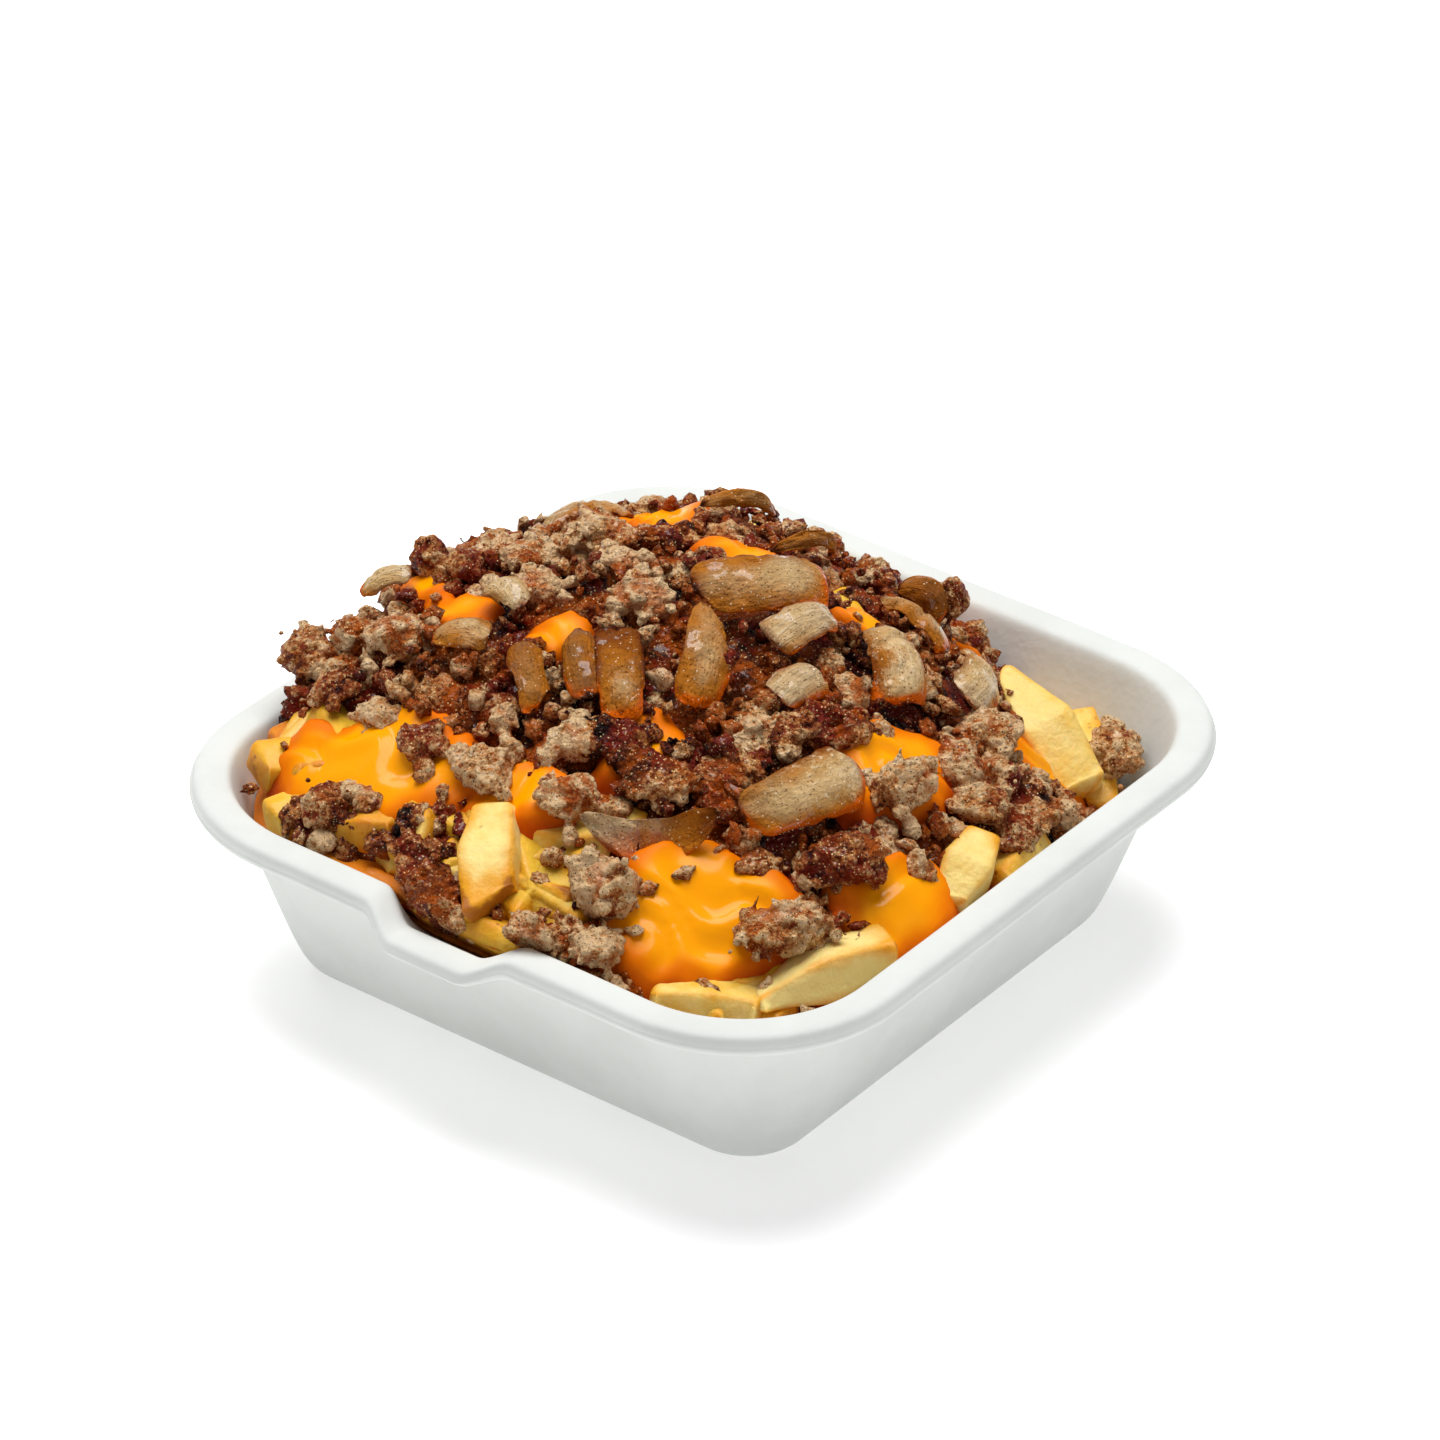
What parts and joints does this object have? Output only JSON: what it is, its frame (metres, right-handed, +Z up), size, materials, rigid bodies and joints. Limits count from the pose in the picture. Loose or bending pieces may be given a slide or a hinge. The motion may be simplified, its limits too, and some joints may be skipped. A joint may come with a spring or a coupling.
{
  "type": "loaded fries tray",
  "caption": "Open moulded-fibre tray heaped with fries under melted cheese sauce, crumbled browned beef and soft fried onion strips.",
  "frame": {"origin": "centre of the tray's flat base, on the surface it stands on", "axes": "+Z up, +Y along the tray's slightly longer side and away from the notch in the rim, +X to the right when the notch faces the viewer"},
  "size_m": [0.1442, 0.1555, 0.0719],
  "materials": {
    "tray": "matte moulded fibre, off-white",
    "fries": "fried potato, dull with crisp golden edges",
    "cheese_sauce": "smooth melted cheese sauce, wet gloss",
    "ground_beef": "browned crumbled beef, greasy sheen with charred bits",
    "fried_onion": "soft translucent fried onion, oily gloss"
  },
  "bodies": {
    "root": {"tray": "tray", "fries": "fries", "cheese_sauce": "cheese_sauce", "ground_beef": "ground_beef", "onion_01": "fried_onion", "onion_02": "fried_onion", "onion_03": "fried_onion", "onion_04": "fried_onion", "onion_05": "fried_onion", "onion_06": "fried_onion", "onion_07": "fried_onion", "onion_08": "fried_onion", "onion_09": "fried_onion", "onion_10": "fried_onion", "onion_11": "fried_onion", "onion_12": "fried_onion", "onion_13": "fried_onion", "onion_14": "fried_onion", "onion_15": "fried_onion", "onion_16": "fried_onion", "onion_17": "fried_onion", "onion_18": "fried_onion", "onion_19": "fried_onion", "onion_20": "fried_onion", "beef_lump_01": "ground_beef", "beef_lump_02": "ground_beef", "beef_lump_03": "ground_beef", "beef_lump_04": "ground_beef", "beef_lump_05": "ground_beef", "beef_lump_06": "ground_beef", "beef_lump_07": "ground_beef", "beef_lump_08": "ground_beef", "beef_lump_09": "ground_beef", "beef_lump_10": "ground_beef", "beef_lump_11": "ground_beef", "beef_lump_12": "ground_beef"}
  },
  "joints": []
}
